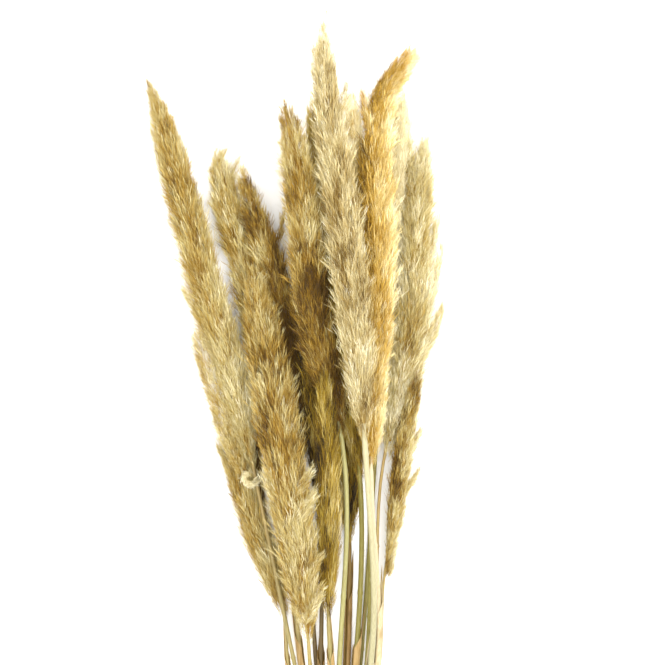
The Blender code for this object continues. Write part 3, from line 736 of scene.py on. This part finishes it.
for number, finish in caneLooks.items():
    name = "stem_" + number
    line = [(centre, halfTall) for centre, _, halfTall in ringsOf(name)]
    inPlume = ringsOf("plume_" + number)[1:3]  # each cane runs on a little way inside its plume, thinner
    line += [(inPlume[0][0], 0.0015), (inPlume[1][0], 0.0010)]
    guide = bpy.data.meshes.new(name + "_guide")
    guide.from_pydata([place for place, _ in line], [(k, k + 1) for k in range(len(line) - 1)], [])
    guide.attributes.new("caneRadius", "FLOAT", "POINT").data.foreach_set(
        "value", [radius * caneInset for _, radius in line])
    piece = growPiece("cane_" + number, guide, skinTree, {
        **caneSizes, "First Joint": 0.013 * int(number), "Cane Material": caneFinishes[finish],
        "Pith Material": pith})
    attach(piece, "root")
    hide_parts(name)
print("canes swept:", len(caneLooks))


# leaf sheaths: the foot of a dry leaf still wrapped round its cane, split down one side and drawn out to
# a slanting papery tip

sheathSizes = {
    "wall": 0.00022, "columns": 18, "rowStep": 0.0025,
    "inset": 0.00045,  # from the corners of the CAD's sheath in to the leaf
    "opening": 0.5,  # radians left open at the split
    "tipLength": 0.030, "tipPlace": 0.55, "tipSharpness": 7,
    "mouthSlant": 0.020,
    "flare": 0.0016, "flareRun": 0.040, "flareStart": 0.016,
    "crumple": 0.00025,
}


# dry grass leaf: thin ribbed papery skin, straw to brown, matt with a faint waxy shine along its ribs
def dryLeaf(name, body, rib, edge):
    material, tree, shader = startMaterial(name)
    where = addNode(tree, "ShaderNodeTexCoord").outputs["Object"]
    ribMap = addNode(tree, "ShaderNodeMapping", links={"Vector": where, "Scale": (1.0, 0.012, 1.0)})
    ribs = addNode(tree, cloud, links={  # veins about 0.8 mm apart
        "Vector": ribMap, "Scale": 1250.0, "Detail": 2.0})
    blotchMap = addNode(tree, "ShaderNodeMapping", links={"Vector": where, "Scale": (1.0, 0.35, 1.0)})
    blotches = addNode(tree, cloud, links={"Vector": blotchMap, "Scale": 120.0, "Detail": 4.0})
    ribShare = addNode(tree, "ShaderNodeMapRange", links={
        "Value": ribs, "From Min": 0.38, "From Max": 0.64, "To Min": 0.0, "To Max": 1.0})
    veined = addNode(tree, "ShaderNodeMix", {"data_type": "RGBA"}, {
        0: ribShare, 6: linear(body), 7: linear(rib)})
    blotchShare = addNode(tree, "ShaderNodeMapRange", links={
        "Value": blotches, "From Min": 0.52, "From Max": 0.72, "To Min": 0.0, "To Max": 0.7})
    spotted = addNode(tree, "ShaderNodeMix", {"data_type": "RGBA"}, {
        0: blotchShare, 6: veined.outputs[2], 7: linear(edge)})
    bump = addNode(tree, "ShaderNodeBump", links={"Strength": 0.7, "Distance": 0.0003, "Height": ribs})
    tree.links.new(spotted.outputs[2], shader.inputs["Base Color"])
    tree.links.new(bump.outputs[0], shader.inputs["Normal"])
    shader.inputs["Roughness"].default_value = 0.58
    shader.inputs["IOR"].default_value = 1.45
    return material


leafFinishes = {
    "tan": dryLeaf("tanDryLeaf", "#9b7c44", "#b39866", "#74541f"),
    "pale": dryLeaf("paleDryLeaf", "#b5a278", "#c8b994", "#927844"),
    "brown": dryLeaf("brownDryLeaf", "#735620", "#917340", "#503a14"),
}
leafLooks = {
    "01": ("tan", 0.6), "03": ("brown", 2.0), "07": ("brown", 1.2), "08": ("tan", 2.6), "11": ("tan", 0.9),
    "12": ("tan", 1.7), "14": ("pale", 2.2), "15": ("tan", 1.4), "16": ("pale", 0.8),
}
for number, (finish, slit) in leafLooks.items():
    name = "leaf_sheath_" + number
    rings = ringsOf(name)
    start, end = rings[0][0].y, rings[-1][0].y
    rows = round((end - start + sheathSizes["tipLength"]) / sheathSizes["rowStep"])
    columns = sheathSizes["columns"]
    points, faces = [], []
    for i in range(rows + 1):
        for k in range(columns + 1):
            share = k / columns
            angle = slit + sheathSizes["opening"] / 2 + share * (2 * math.pi - sheathSizes["opening"])
            # the mouth slants up to a drawn-out tip on the side away from the split
            away = abs(share - sheathSizes["tipPlace"])
            drawnOut = sheathSizes["tipLength"] * max(0, 1 - away * sheathSizes["tipSharpness"]) ** 1.5
            top = end - sheathSizes["mouthSlant"] * 2 * away + drawnOut
            y = start + (top - start) * i / rows
            centre, wide = lineAt(rings, y)
            lift = max(0, (y - end + sheathSizes["flareStart"]) / sheathSizes["flareRun"])
            crumple = noise.noise(Vector((y * 90, share * 5, int(number)))) * sheathSizes["crumple"]
            r = wide / ringFit[6] - sheathSizes["inset"] + sheathSizes["flare"] * lift ** 1.5 + crumple
            points.append(centre + Vector((math.cos(angle) * r, 0, math.sin(angle) * r)))
    for i in range(rows):
        for k in range(columns):
            a = i * (columns + 1) + k
            faces.append((a, a + columns + 1, a + columns + 2, a + 1))
    mesh = bpy.data.meshes.new("sheath_" + number)
    mesh.from_pydata(points, [], faces)
    mesh.shade_smooth()
    mesh.materials.append(leafFinishes[finish])
    piece = bpy.data.objects.new("sheath_" + number, mesh)
    scene.collection.objects.link(piece)
    wall = piece.modifiers.new("wall", "SOLIDIFY")
    wall.thickness, wall.offset = sheathSizes["wall"], 1.0
    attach(piece, "root")
    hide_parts(name)
print("sheaths wrapped:", len(leafLooks))


# rubber band: one loop wound four times round the canes, its last turn crossing back over the others

bandSizes = {
    "turns": 4, "pitch": 0.0020, "width": 0.0019, "thickness": 0.0010, "steps": 96, "corners": 10,
    "squareness": 0.6,  # 1 is an oval cut, less is squarer
    "crossing": 0.28, "hump": 0.0011,  # share of a turn that crosses back, and how high it rides
    "bedding": 0.0002,
}


# natural rubber: smooth, soft, translucent tan, slightly tacky sheen
def naturalRubber():
    material, tree, shader = startMaterial("naturalTanRubber")
    dust = addNode(tree, cloud, links={  # dusty bloom in specks of about 1 mm
        "Vector": addNode(tree, "ShaderNodeTexCoord").outputs["Object"], "Scale": 900.0, "Detail": 3.0})
    shades = addNode(tree, "ShaderNodeMix", {"data_type": "RGBA"}, {
        0: dust, 6: linear("#9c7544"), 7: linear("#b59462")})
    rough = addNode(tree, "ShaderNodeMapRange", links={"Value": dust, "To Min": 0.42, "To Max": 0.68})
    bump = addNode(tree, "ShaderNodeBump", links={"Strength": 0.25, "Distance": 0.0001, "Height": dust})
    tree.links.new(shades.outputs[2], shader.inputs["Base Color"])
    tree.links.new(rough.outputs[0], shader.inputs["Roughness"])
    tree.links.new(bump.outputs[0], shader.inputs["Normal"])
    shader.inputs["IOR"].default_value = 1.52
    return material


low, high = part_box("rubber_band")
middle = (low + high) / 2
steps, turns, corners = bandSizes["steps"], bandSizes["turns"], bandSizes["corners"]
outline = []
for k in range(steps):
    angle = 2 * math.pi * k / steps
    way = Vector((math.cos(angle), 0, math.sin(angle)))
    outline.append(max((v.co - middle).dot(way) for v in nodes["rubber_band"].data.vertices))
points, faces = [], []
total = turns * steps
for step in range(total):
    angle = 2 * math.pi * step / steps
    way, side = Vector((math.cos(angle), 0, math.sin(angle))), Vector((-math.sin(angle), 0, math.cos(angle)))
    # the last turn eases back over the others to where the first one starts
    back = max(0, (step / steps - (turns - bandSizes["crossing"])) / bandSizes["crossing"])
    cross = back * back * (3 - 2 * back)
    along = (step / steps - turns * 0.5) * bandSizes["pitch"] - cross * turns * bandSizes["pitch"]
    hump = bandSizes["hump"] * math.sin(math.pi * back) if back else 0
    # the outline of the CAD's band, less what the rubber's own thickness takes
    inside = bandSizes["thickness"] * 0.5 + bandSizes["bedding"]
    slope = (outline[(step + 1) % steps] - outline[step % steps - 1]) / (4 * math.pi / steps)
    onHull = middle + way * (outline[step % steps] - inside + hump) + side * slope
    for k in range(corners):
        a = 2 * math.pi * k / corners
        c, s = math.cos(a), math.sin(a)
        flatC = math.copysign(abs(c) ** bandSizes["squareness"], c) * bandSizes["width"] / 2
        flatS = math.copysign(abs(s) ** bandSizes["squareness"], s) * bandSizes["thickness"] / 2
        points.append(onHull + Vector((0, along + flatC, 0)) + way * flatS)
for step in range(total):
    here, there = step * corners, (step + 1) % total * corners
    for k in range(corners):
        after = (k + 1) % corners
        faces.append((here + k, there + k, there + after, here + after))
mesh = bpy.data.meshes.new("woundBand")
mesh.from_pydata(points, [], faces)
mesh.shade_smooth()
mesh.materials.append(naturalRubber())
piece = bpy.data.objects.new("woundBand", mesh)
scene.collection.objects.link(piece)
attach(piece, "root")
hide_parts("rubber_band")
print("band wound")


# camera straight above the bundle, stage and light

view = {"across": 0.0358, "along": 0.1352, "level": 0.05, "frameWidth": 0.5985, "lens": 100.0}

camera = bpy.data.objects.new("camera", bpy.data.cameras.new("camera"))
camera.data.lens = view["lens"]
camera.data.clip_end = 20
camera.location = (view["across"], view["along"],
                   view["level"] + view["frameWidth"] * view["lens"] / camera.data.sensor_width)
scene.collection.objects.link(camera)
scene.camera = camera

floor = bpy.data.objects.new("floor", bpy.data.meshes.new("floor"))
floor.data.from_pydata([(-4, -4, 0), (4, -4, 0), (4, 4, 0), (-4, 4, 0)], [], [(0, 1, 2, 3)])
scene.collection.objects.link(floor)
# board under the bundle: matt, a little off white
paper, _, paperShader = startMaterial("matteWhiteBoard")
paperShader.inputs["Base Color"].default_value = linear("#f6f5f2")
paperShader.inputs["Roughness"].default_value = 0.9
floor.data.materials.append(paper)

world = bpy.data.worlds.new("studio")
world.use_nodes = True
sky = world.node_tree.nodes["Background"].inputs
sky["Color"].default_value, sky["Strength"].default_value = linear("#ffffff"), 1.15
scene.world = world
for name, place, size, power in (
        ("keyLight", (0.9, 0.7, 1.9), 1.1, 30), ("overheadLight", (0.1, 0.0, 2.3), 1.8, 52),
        ("fillLight", (-1.3, 0.2, 1.7), 1.6, 9)):
    lamp = bpy.data.objects.new(name, bpy.data.lights.new(name, "AREA"))
    lamp.data.size, lamp.data.energy = size, power
    lamp.location = place
    lamp.rotation_euler = (Vector((0, 0.1, 0.03)) - Vector(place)).to_track_quat("-Z", "Y").to_euler()
    scene.collection.objects.link(lamp)
scene.view_settings.view_transform = "Standard"
